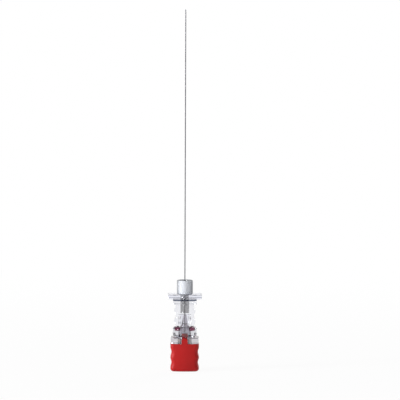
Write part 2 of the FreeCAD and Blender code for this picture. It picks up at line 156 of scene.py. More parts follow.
@dataclass(frozen=True)
class Waves:
    """Hollows with rounded ridges between them, one above another.

    Attributes:
        depth: From the top of a ridge to the floor of a hollow, in millimetres.
        radius: Radius of a hollow.
        first: Height of the lowest hollow.
        pitch: From one hollow to the next.
        count: Number of hollows.
    """

    depth: float
    radius: float
    first: float
    pitch: float
    count: int

    def drop(self, height: float) -> float:
        """Find how far the side lies inside its ridges.

        Args:
            height: Level above the piece's foot, in millimetres.

        Returns:
            The distance in millimetres, nought on a ridge and outside the waves.
        """
        half = self.pitch / 2
        low = self.first - half
        if not low < height < low + self.count * self.pitch:
            return 0.0
        both = (self.pitch ** 2 / 4 + self.depth ** 2) / (2 * self.depth)
        ridge = both - self.radius
        offset = (height - low) % self.pitch - half
        if abs(offset) < half * self.radius / both:
            return self.depth - self.radius + math.sqrt(self.radius ** 2 - offset ** 2)
        from_ridge = half - abs(offset)
        return ridge - math.sqrt(ridge ** 2 - from_ridge ** 2)

    def narrow(self, plan: BowedPlan, height: float) -> BowedPlan:
        """The plan with its sides drawn in by the waves at a height."""
        return replace(plan, width=plan.width - 2 * self.drop(height))


@dataclass(frozen=True)
class Ring:
    """One level loop of a lofted piece.

    Attributes:
        height: Where the loop lies, in millimetres above the piece's own foot.
        reach: Distance from the axis to the loop at an angle.
    """

    height: float
    reach: Reach


def soft_max(first: float, second: float, blend: float) -> float:
    """Larger of two reaches, with a fillet where they are nearly alike.

    Args:
        first: One reach in millimetres.
        second: The other reach.
        blend: Difference at which the fillet starts.

    Returns:
        The blended reach.
    """
    overlap = max(blend - abs(first - second), 0) / blend
    return max(first, second) + overlap * overlap * blend / 4


def quarter(steps: int) -> list[tuple[float, float]]:
    """Points of a quarter round, from its level edge to its upright side.

    Args:
        steps: Number of chords.

    Returns:
        Pairs of inset and rise, both from nought to one.
    """
    turns = [math.pi / 2 * step / steps for step in range(steps + 1)]
    return [(1 - math.sin(turn), 1 - math.cos(turn)) for turn in turns]


def spread(low: float, high: float, count: int) -> list[float]:
    """Evenly spaced heights from low to high, both ends included."""
    return [low + (high - low) * step / count for step in range(count + 1)]


def column(radius: float, *heights: float) -> list[Ring]:
    """Round rings of one radius, one at each height."""
    return [Ring(height, Disc(radius).reach) for height in heights]


def rounding(plan: Disc | BowedPlan, edge: float, rise: float, draw_in: float,
             steps: int) -> list[Ring]:
    """Make the rings of a quarter round between a level edge and an upright side.

    Args:
        plan: Outline at the upright side.
        edge: Height of the edge, in millimetres.
        rise: From the edge to the upright side, below nought for downwards.
        draw_in: How far the edge lies inside the outline, below nought for outside.
        steps: Number of chords.

    Returns:
        The rings, from the edge to the upright side.
    """
    return [Ring(edge + up * rise, plan.inset(inset * draw_in).reach)
            for inset, up in quarter(steps)]


def foot_rings(plan: Disc | BowedPlan, base: float, radius: float,
               steps: int) -> list[Ring]:
    """Rings of a rounded foot, upwards."""
    return rounding(plan, base, radius, radius, steps)


def rim_rings(plan: Disc | BowedPlan, top: float, radius: float,
              steps: int) -> list[Ring]:
    """Rings of a rounded rim, upwards."""
    return rounding(plan, top, -radius, radius, steps)[::-1]


# Modelling by operator. What lies nearer than CLOSE millimetres counts as level.

CLOSE = 0.01


def make_active(piece: Piece) -> None:
    """Select one piece alone and make it active."""
    bpy.ops.object.select_all(action="DESELECT")
    piece.select_set(True)
    bpy.context.view_layer.objects.active = piece


@contextmanager
def editing(piece: Piece, start: str = "SELECT") -> Iterator[None]:
    """Edit a piece, with all or nothing of it selected at the start.

    Args:
        piece: The mesh object.
        start: What is done to the selection first.

    Yields:
        Nothing, in edit mode.
    """
    make_active(piece)
    bpy.ops.object.mode_set(mode="EDIT")
    bpy.ops.mesh.select_all(action=start)
    yield
    bpy.ops.object.mode_set(mode="OBJECT")


def add_new(name: str, operator: Callable[..., object],
            **settings: object) -> Piece:
    """Add a primitive, a lamp or a camera, and name it.

    Args:
        name: Name of the object and of its data.
        operator: The operator that adds it.
        **settings: What the operator is given.

    Returns:
        The new object.
    """
    bpy.ops.object.select_all(action="DESELECT")
    operator(**settings)
    piece = bpy.context.object
    piece.name = name
    piece.data.name = name
    return piece


def apply_modifier(piece: Piece, kind: str, **settings: object) -> None:
    """Add a modifier with its settings and apply it.

    Args:
        piece: The mesh object.
        kind: Blender's name for the modifier.
        **settings: Values set on the modifier before it is applied.
    """
    make_active(piece)
    modifier = piece.modifiers.new(kind.title(), kind)
    for key, setting in settings.items():
        setattr(modifier, key, setting)
    bpy.ops.object.modifier_apply(modifier=modifier.name)


def settle(piece: Piece) -> None:
    """Apply a piece's place, turn and scale to its mesh."""
    make_active(piece)
    bpy.ops.object.transform_apply(location=True, rotation=True, scale=True)


def combine(piece: Piece, tool: Piece, cut: Cut) -> None:
    """Join a tool's shape to a piece or cut it out, and remove the tool."""
    apply_modifier(piece, "BOOLEAN", operation=cut.value, object=tool, solver="EXACT")
    bpy.data.objects.remove(tool)


def smooth(piece: Piece, degrees: float = 32.0) -> None:
    """Shade a piece smooth up to an angle, and let its large faces lead the normals."""
    make_active(piece)
    bpy.ops.object.shade_smooth_by_angle(angle=math.radians(degrees))
    apply_modifier(piece, "WEIGHTED_NORMAL", keep_sharp=True, weight=60)


def mend_normals(piece: Piece) -> None:
    """Merge doubles and turn every face outwards."""
    with editing(piece):
        bpy.ops.mesh.remove_doubles(threshold=0.0005 * MM)
        bpy.ops.mesh.normals_make_consistent(inside=False)


def loft(name: str, rings: Sequence[Ring], segments: int, lift: float = 0.0,
         hollow: bool = False) -> Piece:
    """Raise a mesh through a list of rings, one extrusion for each.

    Args:
        name: Name of the piece.
        rings: Rings from first to last, in millimetres.
        segments: Vertices in a ring.
        lift: Height of the piece's own foot, in millimetres.
        hollow: True where the last ring joins the first, and False where both are closed.

    Returns:
        The new piece, with its place in its mesh.
    """
    piece = add_new(name, bpy.ops.mesh.primitive_circle_add, vertices=segments,
                    radius=MM, fill_type="NOTHING")
    with editing(piece):
        _place_ring(piece, rings[0], lift)
        for ring in rings[1:]:
            bpy.ops.mesh.extrude_edges_move()
            _place_ring(piece, ring, lift)
        bpy.ops.mesh.select_all(action="DESELECT")
        bpy.ops.mesh.select_mode(type="EDGE")
        bpy.ops.mesh.select_non_manifold()
        if hollow:
            bpy.ops.mesh.bridge_edge_loops()
        else:
            bpy.ops.mesh.fill_holes(sides=0)
        bpy.ops.mesh.select_mode(type="VERT")
        bpy.ops.mesh.select_all(action="SELECT")
        bpy.ops.mesh.normals_make_consistent(inside=False)
    return piece


def _place_ring(piece: Piece, ring: Ring, lift: float) -> None:
    """Set the selected loop at its height and reach, each vertex at its own angle."""
    mesh = bmesh.from_edit_mesh(piece.data)
    for vertex in mesh.verts:
        if vertex.select:
            angle = math.atan2(vertex.co.y, vertex.co.x)
            reach = ring.reach(angle) * MM
            vertex.co = (reach * math.cos(angle), reach * math.sin(angle),
                         (ring.height + lift) * MM)
    bmesh.update_edit_mesh(piece.data)


def block(name: str, low: Point, high: Point) -> Piece:
    """Add a cube between two corners, for use as a tool or a start.

    Args:
        name: Name of the piece.
        low: Lowest corner in millimetres.
        high: Highest corner in millimetres.

    Returns:
        The block, with its place in its mesh.
    """
    middle = [(a + b) / 2 * MM for a, b in zip(low, high)]
    piece = add_new(name, bpy.ops.mesh.primitive_cube_add, size=1, location=middle)
    piece.scale = [(b - a) * MM for a, b in zip(low, high)]
    settle(piece)
    return piece


def bevel_edges(piece: Piece, width: float, segments: int, rule: Rule) -> None:
    """Round the edges of a piece that pass a rule.

    Args:
        piece: The mesh object.
        width: Width of the bevel in millimetres.
        segments: Faces across the bevel.
        rule: Asked about both ends of each edge, in millimetres.
    """
    with editing(piece, "DESELECT"):
        bpy.ops.mesh.select_mode(type="EDGE")
        mesh = bmesh.from_edit_mesh(piece.data)
        for edge in mesh.edges:
            edge.select_set(rule(*(vertex.co / MM for vertex in edge.verts)))
        bmesh.update_edit_mesh(piece.data)
        bpy.ops.mesh.bevel(offset=width * MM, segments=segments, affect="EDGES",
                           clamp_overlap=True)


def select_level(piece: Piece, height: float) -> None:
    """Select the face that lies level at a height, in edit mode."""
    bpy.ops.mesh.select_mode(type="FACE")
    bpy.ops.mesh.select_all(action="DESELECT")
    mesh = bmesh.from_edit_mesh(piece.data)
    for face in mesh.faces:
        face.select_set(all(abs(vertex.co.z / MM - height) < 0.001 for vertex in face.verts))
    bmesh.update_edit_mesh(piece.data)


def slice_off(piece: Piece, through: Point, normal: Vector) -> None:
    """Cut a piece by a plane and throw away what lies on the normal's side.

    Args:
        piece: The mesh object.
        through: A point of the plane, in millimetres.
        normal: Direction of the part that goes.
    """
    with editing(piece):
        bpy.ops.mesh.bisect(plane_co=[part * MM for part in through], plane_no=normal,
                            use_fill=True, clear_outer=True, threshold=1e-9)


def zone(low: float, high: float, beyond: float = -1.0) -> Rule:
    """Make a rule for faces by their height and their distance from the axis.

    Args:
        low: Height above which they lie, in millimetres.
        high: Height below which they lie.
        beyond: Distance from the axis past which they lie.

    Returns:
        The rule.
    """
    return lambda middle, normal: (low < middle.z < high
                                   and math.hypot(middle.x, middle.y) > beyond)


# Materials. Roughness follows a noise between these two values of it.

NOISE_LOW = 0.3
NOISE_HIGH = 0.7


class Nodes:
    """A node tree that is built by short calls."""

    def __init__(self, tree: Tree) -> None:
        """Keep the tree that the nodes go into."""
        self.tree = tree

    def feed(self, socket: Socket, given: object) -> None:
        """Link an input to a socket, or set it to a value."""
        if isinstance(given, Socket):
            self.tree.links.new(given, socket)
        else:
            socket.default_value = given

    def fill(self, node: bpy.types.Node, **inputs: object) -> None:
        """Feed a node's inputs, which are named with underscores for spaces."""
        for name, given in inputs.items():
            self.feed(node.inputs[name.replace("_", " ")], given)

    def add(self, kind: str, **inputs: object) -> bpy.types.Node:
        """Add a node and feed its inputs.

        Args:
            kind: The node's type.
            **inputs: Values or sockets under the inputs' names.

        Returns:
            The new node.
        """
        node = self.tree.nodes.new(kind)
        self.fill(node, **inputs)
        return node

    def group(self, tree: Tree, **inputs: object) -> bpy.types.NodeOutputs:
        """Place a node group with its own values.

        Args:
            tree: The group.
            **inputs: Values or sockets under the inputs' names.

        Returns:
            The group's outputs.
        """
        node = self.tree.nodes.new("ShaderNodeGroup")
        node.node_tree = tree
        self.fill(node, **inputs)
        return node.outputs

    def math(self, operation: str, first: object, second: object = 0.0,
             clamp: bool = False) -> Socket:
        """Work out one arithmetic step.

        Args:
            operation: Name of the operation.
            first: First value or socket.
            second: Second value or socket.
            clamp: True to keep the result from nought to one.

        Returns:
            The socket with the result.
        """
        node = self.tree.nodes.new("ShaderNodeMath")
        node.operation = operation
        node.use_clamp = clamp
        self.feed(node.inputs[0], first)
        self.feed(node.inputs[1], second)
        return node.outputs[0]

    def between(self, value: Socket, low: float, high: float,
                start: float = 0.0, end: float = 1.0) -> Socket:
        """Ramp a value smoothly from one range to another.

        Args:
            value: The socket that is read.
            low: Value at which the ramp starts.
            high: Value at which it ends.
            start: Result at low.
            end: Result at high.

        Returns:
            The socket with the result.
        """
        node = self.add("ShaderNodeMapRange", Value=value, From_Min=low, From_Max=high,
                        To_Min=start, To_Max=end)
        node.interpolation_type = "SMOOTHSTEP"
        return node.outputs["Result"]

    def blend(self, share: object, first: object, second: object) -> Socket:
        """Mix two colours.

        Args:
            share: Share of the second colour.
            first: First colour or socket.
            second: Second colour or socket.

        Returns:
            The socket with the mixed colour.
        """
        node = self.tree.nodes.new("ShaderNodeMix")
        node.data_type = "RGBA"
        for index, given in ((0, share), (6, first), (7, second)):
            self.feed(node.inputs[index], given)
        return node.outputs[2]

    def noise(self, place: Socket, scale: object, detail: float,
              roughness: float = 0.5) -> Socket:
        """Read a noise texture.

        Args:
            place: Where it is read.
            scale: Its scale, as a value or socket.
            detail: How many finer layers it has.
            roughness: How strongly the finer layers show.

        Returns:
            The socket with the noise.
        """
        return self.add("ShaderNodeTexNoise", Vector=place, Scale=scale, Detail=detail,
                        Roughness=roughness).outputs["Fac"]


class GroupNodes(Nodes):
    """A new shader node group with number sockets."""

    def __init__(self, name: str, inputs: dict[str, float], outputs: Sequence[str]) -> None:
        """Start the group.

        Args:
            name: Name of the group.
            inputs: Names and starting values of its inputs.
            outputs: Names of its outputs.
        """
        super().__init__(bpy.data.node_groups.new(name, "ShaderNodeTree"))
        for label, number in inputs.items():
            self._socket(label, "INPUT").default_value = number
        for label in outputs:
            self._socket(label, "OUTPUT")
        self.given = self.add("NodeGroupInput").outputs
        self.result = self.add("NodeGroupOutput")

    def _socket(self, label: str, side: str) -> bpy.types.NodeTreeInterfaceSocket:
        """Add a number socket on one side of the group."""
        return self.tree.interface.new_socket(name=label, in_out=side,
                                              socket_type="NodeSocketFloat")


class SurfaceEffects:
    """Node groups that several finishes share."""

    def __init__(self) -> None:
        """Build both groups once."""
        self.moulding = self._moulding_skin()
        self.drawing = self._drawn_lines()

    @staticmethod
    def _moulding_skin() -> Tree:
        """Skin of a moulded plastic.

        Returns:
            A group with slow flow clouds, fine grain and a parting line.
        """
        nodes = GroupNodes("moulding_skin", {"Flow Scale": 260.0, "Grain Scale": 5200.0,
                                             "Line Width": 0.00004},
                           ("Flow", "Grain", "Parting Line"))
        place = nodes.add("ShaderNodeTexCoord").outputs["Object"]
        flow = nodes.noise(place, nodes.given["Flow Scale"], 3.0, 0.55)
        grain = nodes.noise(place, nodes.given["Grain Scale"], 2.0, 0.6)
        depth = nodes.add("ShaderNodeSeparateXYZ", Vector=place).outputs["Y"]
        away = nodes.math("DIVIDE", nodes.math("ABSOLUTE", depth), nodes.given["Line Width"])
        line = nodes.math("SUBTRACT", 1.0, away, clamp=True)
        nodes.fill(nodes.result, Flow=flow, Grain=grain, Parting_Line=line)
        return nodes.tree

    @staticmethod
    def _drawn_lines() -> Tree:
        """Lines that a die or a grinding wheel leaves on steel.

        Returns:
            A group with lines along Z, finer lines across, and slow clouds.
        """
        nodes = GroupNodes("drawn_lines", {"Line Scale": 26000.0, "Stretch": 0.01},
                           ("Lines", "Cross Lines", "Clouds"))
        place = nodes.add("ShaderNodeTexCoord").outputs["Object"]
        x, y, z = nodes.add("ShaderNodeSeparateXYZ", Vector=place).outputs
        squeezed = nodes.math("MULTIPLY", z, nodes.given["Stretch"])
        along = nodes.add("ShaderNodeCombineXYZ", X=x, Y=y, Z=squeezed).outputs[0]
        narrow = nodes.math("MULTIPLY", x, nodes.given["Stretch"])
        across = nodes.add("ShaderNodeCombineXYZ", X=narrow, Y=y, Z=z).outputs[0]
        nodes.fill(nodes.result, Lines=nodes.noise(along, nodes.given["Line Scale"], 2.0),
                   Cross_Lines=nodes.noise(across, nodes.given["Line Scale"], 2.0),
                   Clouds=nodes.noise(place, 900.0, 3.0))
        return nodes.tree


def with_alpha(colour: Colour, share: float = 1.0) -> tuple[float, ...]:
    """A share of a colour with full alpha, as colour sockets take it."""
    return (*(part * share for part in colour), 1.0)


@dataclass(frozen=True)
class Finish:
    """What every finish has.

    Attributes:
        name: Name of the material.
        colour: Main colour, linear.
        roughness: Mean roughness.
        relief: Depth of the skin's grain, waviness or lines, in metres.
    """

    name: str
    colour: Colour
    roughness: float
    relief: float

    def build(self, effects: SurfaceEffects) -> Material:
        """Make the material.

        Args:
            effects: Shared node groups.

        Returns:
            The finished material.
        """
        material = bpy.data.materials.new(self.name)
        material.use_nodes = True
        nodes = Nodes(material.node_tree)
        shader = material.node_tree.nodes["Principled BSDF"]
        nodes.fill(shader, **self._inputs(nodes, effects))
        return material

    def _inputs(self, nodes: Nodes, effects: SurfaceEffects) -> dict[str, object]:
        """Inputs of the main shader, which each kind of finish gives."""
        raise NotImplementedError

    def _bump(self, nodes: Nodes, strength: float, height: object) -> Socket:
        """Normal of the skin, raised by a height."""
        return nodes.add("ShaderNodeBump", Strength=strength, Distance=self.relief,
                         Height=height).outputs["Normal"]


@dataclass(frozen=True)
class MouldedPlastic(Finish):
    """Opaque moulded plastic with a satin skin.

    Attributes:
        deep_colour: Colour where the flow is thicker.
    """

    deep_colour: Colour

    def _inputs(self, nodes: Nodes, effects: SurfaceEffects) -> dict[str, object]:
        """Inputs of the main shader.

        Args:
            nodes: Builder of the material's tree.
            effects: Shared node groups.

        Returns:
            Values and sockets under the inputs' names.
        """
        skin = nodes.group(effects.moulding, Flow_Scale=190.0, Grain_Scale=7000.0)
        share = nodes.between(skin["Flow"], 0.35, 0.65)
        height = nodes.math("ADD", nodes.math("MULTIPLY", skin["Grain"], 0.6),
                            skin["Parting Line"])
        return {
            "Base Color": nodes.blend(share, with_alpha(self.colour),
                                      with_alpha(self.deep_colour)),
            "Roughness": nodes.between(skin["Grain"], NOISE_LOW, NOISE_HIGH,
                                       self.roughness - 0.05, self.roughness + 0.06),
            "Normal": self._bump(nodes, 0.5, height),
            "IOR": 1.5,
            "Specular IOR Level": 0.3,
        }


@dataclass(frozen=True)
class ClearPlastic(Finish):
    """Moulded plastic that lets light through.

    Attributes:
        ior: Index of refraction.
        transmission: Share of light that goes through.
        edge_shade: Share of the tint that is left where the surface turns away.
    """

    ior: float = 1.5
    transmission: float = 1.0
    edge_shade: float = 1.0

    def _inputs(self, nodes: Nodes, effects: SurfaceEffects) -> dict[str, object]:
        """Inputs of the main shader.

        Args:
            nodes: Builder of the material's tree.
            effects: Shared node groups.

        Returns:
            Values and sockets under the inputs' names.
        """
        skin = nodes.group(effects.moulding, Flow_Scale=420.0, Grain_Scale=9000.0)
        tint = nodes.blend(nodes.between(skin["Flow"], 0.4, 0.7), with_alpha(self.colour),
                           with_alpha(self.colour, 0.96))
        if self.edge_shade < 1:
            facing = nodes.add("ShaderNodeLayerWeight", Blend=0.5).outputs["Facing"]
            tint = nodes.blend(nodes.between(facing, 0.08, 0.6), tint,
                               with_alpha(self.colour, self.edge_shade))
        height = nodes.math("ADD", skin["Flow"],
                            nodes.math("MULTIPLY", skin["Parting Line"], 0.8))
        return {
            "Base Color": tint,
            "Roughness": nodes.between(skin["Grain"], NOISE_LOW, NOISE_HIGH,
                                       self.roughness * 0.7, self.roughness * 1.3),
            "Normal": self._bump(nodes, 0.35, height),
            "IOR": self.ior,
            "Transmission Weight": self.transmission,
        }


@dataclass(frozen=True)
class WorkedSteel(Finish):
    """Stainless steel with the lines of drawing or of grinding.

    Attributes:
        lines: Which output of the lines group shows, along or across.
    """

    lines: str

    def _inputs(self, nodes: Nodes, effects: SurfaceEffects) -> dict[str, object]:
        """Inputs of the main shader.

        Args:
            nodes: Builder of the material's tree.
            effects: Shared node groups.

        Returns:
            Values and sockets under the inputs' names.
        """
        marks = nodes.group(effects.drawing)
        share = nodes.between(marks["Clouds"], 0.3, 0.75)
        return {
            "Base Color": nodes.blend(share, with_alpha(self.colour),
                                      with_alpha(self.colour, 0.78)),
            "Roughness": nodes.between(marks[self.lines], NOISE_LOW, NOISE_HIGH,
                                       self.roughness * 0.75, self.roughness * 1.3),
            "Normal": self._bump(nodes, 0.4, marks[self.lines]),
            "Metallic": 1.0,
        }


RED = MouldedPlastic("red_plastic", (0.47, 0.004, 0.004), 0.42, 1e-5, (0.43, 0.003, 0.003))
PLUG = ClearPlastic("clear_plug_plastic", (0.62, 0.59, 0.62), 0.03, 6e-6)
# Painted reflection: a brownish tint on the sides of the plug's relief wall, standing in for
# the red handle and dark surroundings seen through the clear plastic.
AMBER_REFLECTION = ClearPlastic("amber_reflection_plastic", (0.12, 0.05, 0.03), 0.1, 6e-6, transmission=0.35)
CLEAR = ClearPlastic("clear_plastic", (0.86, 0.865, 0.9), 0.03, 6e-6, ior=1.36)
# Painted shade: a dark blue tint on the band between flange and grip plate, where the groove
# lies in shade.
GROOVE_SHADE = ClearPlastic("groove_shade_plastic", (0.02, 0.025, 0.045), 0.05, 6e-6, ior=1.36)
# Painted shade: the grip plate gets a darker, bluer tint than the rest of the same clear hub.
PLATE_SHADE = ClearPlastic("plate_shade_plastic", (0.82, 0.83, 0.91), 0.03, 6e-6, ior=1.36)
# Painted shade: a greyer tint that darkens the hub below the lugs' shoulders.
LOWER_SHADE = ClearPlastic("lower_shade_plastic", (0.7, 0.7, 0.74), 0.03, 6e-6)
GLINT = ClearPlastic("red_lit_plastic", (0.05, 0.002, 0.01), 0.05, 6e-6, transmission=0.8)
FROSTED = ClearPlastic("frosted_plastic", (0.9, 0.935, 1.0), 0.34, 1e-5,
                       transmission=0.2, edge_shade=0.4)
GLUE = ClearPlastic("set_resin", (0.42, 0.415, 0.4), 0.01, 1e-5, ior=1.7, transmission=0.99)
DRAWN = WorkedSteel("drawn_steel", (0.17, 0.17, 0.185), 0.24, 1e-6, "Lines")
GROUND = WorkedSteel("ground_steel", (0.82, 0.82, 0.83), 0.2, 2e-7, "Cross Lines")
FACET = WorkedSteel("facet_steel", (0.08, 0.085, 0.1), 0.2, 2e-7, "Cross Lines")
ETCHED = WorkedSteel("etched_steel", (0.02, 0.02, 0.022), 0.5, 2e-6, "Cross Lines")
WIRE = WorkedSteel("wire_steel", (0.5, 0.5, 0.52), 0.2, 1e-6, "Lines")
WIRE_FACE = WorkedSteel("ground_wire_steel", (0.4, 0.42, 0.46), 0.25, 2e-7, "Cross Lines")


@dataclass
class Assembly:
    """What each sub-assembly starts from: the node groups that its finishes share."""

    effects: SurfaceEffects

    def dress(self, piece: Piece, finish: Finish, rule: Rule | None = None) -> None:
        """Give a finish to a piece, or to those of its faces that pass a rule.

        Args:
            piece: The mesh object.
            finish: The finish, of which the piece gets a material of its own.
            rule: Asked about the middle in millimetres and the normal of each face.
        """
        piece.data.materials.append(finish.build(self.effects))
        last = len(piece.data.materials) - 1
        for face in piece.data.polygons if rule else ():
            if rule(face.center / MM, face.normal):
                face.material_index = last


# The stylet: red handle, clear plug and steel wire


@dataclass
class Stylet(Assembly):
    """The stylet and its handle. Sizes are in millimetres from the floor."""

    cap_height: float = 9.1
    cap_plan: BowedPlan = BowedPlan(9.3, 7.8, 0.5, 1.5)
    cap_waves: Waves = Waves(0.34, 3.2, 2.8, 3.42, 2)
    cap_foot_round: float = 1.0
    cap_rim_round: float = 0.3
    seat_radius: float = 1.81
    seat_floor: float = 5.35
    tongue_side: float = 0.98
    tongue_front: float = 3.85
    tongue_back: float = 2.3
    tongue_flat: float = 0.02
    tongue_edge: float = 0.08
    key_side: float = 0.9
    key_front: float = 2.85
    key_top: float = 12.45
    key_edge: float = 0.1
    root: float = 7.9
    plate_top: float = 11.0
    plate_inset: float = 0.1
    plate_round: float = 0.15
    plate_foot_round: float = 0.04
    hair_gap: float = 0.02
    relief_radius: float = 2.14
    relief_top: float = 10.55
    # The painted reflection band starts this far out along X.
    amber_reflection_side: float = 1.45
    notch_gap: float = 0.06
    boss_radius: float = 1.8
    boss_foot: float = 6.1
    boss_round: float = 0.2
    plug_radius: float = 2.12
    plug_root_round: float = 0.12
    land_top: float = 12.95
    land_radius: float = 2.063
    flank_sag: float = 0.145
    flank_steps: int = 24
    tip_radius: float = 0.68
    tip_round: float = 0.25
    tip_top: float = 18.35
    wire_radius: float = 0.09
    wire_tip: float = 117.6
    bend_centre: float = 6.09
    bend_radius: float = 0.4
    wire_foot: float = 1.1
    bevel_degrees: float = 19.0
    bevel_reach: float = 2.0
    tube_radius: float = 0.17
    segments: int = 192
    wire_segments: int = 24

    def build_cap(self) -> Piece:
        """Model the red handle with its waves, seat, tongue and key.

        Returns:
            The finished piece.
        """
        rings = [Ring(height, self._cap_plan_at(height).reach)
                 for height in self._cap_heights()]
        rings += column(self.seat_radius, self.cap_height, self.seat_floor)
        cap = loft("red_handle", rings, self.segments)
        combine(cap, self._tongue(), Cut.JOIN)
        combine(cap, self._key(), Cut.JOIN)
        smooth(cap)
        self.dress(cap, RED)
        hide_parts("handle_cap")
        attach(cap, Body.STYLET.value)
        return cap

    def _cap_heights(self) -> list[float]:
        """Heights of the handle's outer rings, close together at foot and rim."""
        foot = [rise * self.cap_foot_round for inset, rise in quarter(8)]
        rim = [self.cap_height - rise * self.cap_rim_round for inset, rise in quarter(5)]
        return foot + spread(foot[-1], rim[-1], 52)[1:] + rim[-2::-1]

    def _cap_plan_at(self, height: float) -> BowedPlan:
        """Plan of the handle at a height, drawn in by waves, foot and rim."""
        low = max(1 - height / self.cap_foot_round, 0)
        high = max(1 - (self.cap_height - height) / self.cap_rim_round, 0)
        inset = (self.cap_foot_round * (1 - math.sqrt(1 - low * low))
                 + self.cap_rim_round * (1 - math.sqrt(1 - high * high)))
        return self.cap_waves.narrow(self.cap_plan.inset(inset), height)

    def _tongue(self) -> Piece:
        """Tongue in front of the clear plate, round at its top."""
        tongue = block("tongue", (-self.tongue_side, -self.tongue_front, self.root),
                       (self.tongue_side, -self.tongue_back, self.plate_top))
        bevel_edges(tongue, self.tongue_side - self.tongue_flat, 12,
                    lambda a, b: min(a.z, b.z) > self.plate_top - 0.1
                    and abs(a.x - b.x) < CLOSE)
        bevel_edges(tongue, self.tongue_edge, 3,
                    lambda a, b: max(a.y, b.y) < -self.tongue_front + CLOSE
                    and max(a.z, b.z) > self.root + 0.5)
        return tongue

    def _key(self) -> Piece:
        """Key behind the tongue, with its edges broken."""
        key = block("key", (-self.key_side, -self.key_front, self.root),
                    (self.key_side, -self.tongue_back + 0.001, self.key_top))
        bevel_edges(key, self.key_edge, 3, lambda a, b: min(a.z, b.z) > self.key_top - CLOSE)
        return key

    def build_plug(self) -> Piece:
        """Model the clear plate, the boss below it and the plug above it.

        Returns:
            The finished piece.
        """
        plate = replace(self.cap_plan.inset(self.plate_inset), corner=self.cap_plan.corner)
        sole = self.cap_height + self.hair_gap
        rings = [
            *foot_rings(Disc(self.boss_radius), self.boss_foot, self.boss_round, 4),
            *column(self.boss_radius, self.relief_top),
            *column(self.relief_radius, self.relief_top, sole),
            *foot_rings(plate, sole, self.plate_foot_round, 3),
            *rim_rings(plate, self.plate_top, self.plate_round, 5),
            *rounding(Disc(self.plug_radius), self.plate_top, self.plug_root_round,
                      -self.plug_root_round, 4),
            *self._plug_flank(),
        ]
        plug = loft("clear_plug", rings, self.segments)
        notch = block("notch", (-self.tongue_side - self.notch_gap, -self.cap_plan.depth,
                                self.cap_height - 1),
                      (self.tongue_side + self.notch_gap, -self.tongue_back + self.notch_gap,
                       self.plate_top + 1))
        combine(plug, notch, Cut.REMOVE)
        smooth(plug)
        self.dress(plug, PLUG)
        # Painted reflection: brownish tint on the sides of the relief wall.
        self.dress(plug, AMBER_REFLECTION, lambda middle, normal: abs(middle.x) > self.amber_reflection_side
                   and self.cap_height < middle.z < self.relief_top
                   and math.hypot(middle.x, middle.y) < self.relief_radius + CLOSE
                   and abs(normal.z) < 0.1)
        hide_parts("stylet_plug")
        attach(plug, Body.STYLET.value)
        return plug

    def _plug_flank(self) -> Iterator[Ring]:
        """Rings of the plug's land, its hollow flank and its round end."""
        yield from column(self.land_radius, self.land_top)
        start = Vector((self.land_radius, self.land_top))
        end = Vector((self.tip_radius, self.tip_top - self.tip_round))
        for step in range(1, self.flank_steps + 1):
            share = step / self.flank_steps
            place = start.lerp(end, share)
            yield from column(place.x - self.flank_sag * 4 * share * (1 - share), place.y)
        yield from rim_rings(Disc(self.tip_radius), self.tip_top, self.tip_round, 5)[1:]

    def build_wire(self) -> Piece:
        """Model the steel stylet, bent at its foot and ground at its point.

        Returns:
            The finished piece.
        """
        wire = add_new("steel_stylet", bpy.ops.mesh.primitive_circle_add,
                       vertices=self.wire_segments, radius=self.wire_radius * MM,
                       fill_type="NGON", location=(0, 0, self.bend_centre * MM))
        settle(wire)
        foot = (self.wire_foot - self.bend_radius) * MM
        with editing(wire):
            bpy.ops.mesh.spin(steps=10, angle=math.pi / 2, axis=(0, 1, 0),
                              center=(self.bend_radius * MM, 0, self.bend_centre * MM))
            bpy.ops.mesh.extrude_region_move(TRANSFORM_OT_translate={"value": (foot, 0, 0)})
            select_level(wire, self.bend_centre)
            for rise in (self.tip_top - self.bend_centre, self.wire_tip - self.tip_top):
                bpy.ops.mesh.extrude_region_move(
                    TRANSFORM_OT_translate={"value": (0, 0, rise * MM)})
        lean = math.radians(self.bevel_degrees)
        slice_off(wire, (0, self.tube_radius, self.wire_tip),
                  Vector((0, -math.cos(lean), math.sin(lean))))
        mend_normals(wire)
        smooth(wire)
        self.dress(wire, WIRE)
        self.dress(wire, WIRE_FACE, lambda middle, normal: normal.y < -0.8
                   and middle.z > self.wire_tip - self.bevel_reach
                   and abs(normal.x) < 0.05 and normal.z > 0.2)
        self.dress(wire, ETCHED, zone(-math.inf, self.tip_top))
        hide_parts("stylet_wire")
        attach(wire, Body.STYLET.value)
        return wire


# The hub, the glue in its well and the steel tube


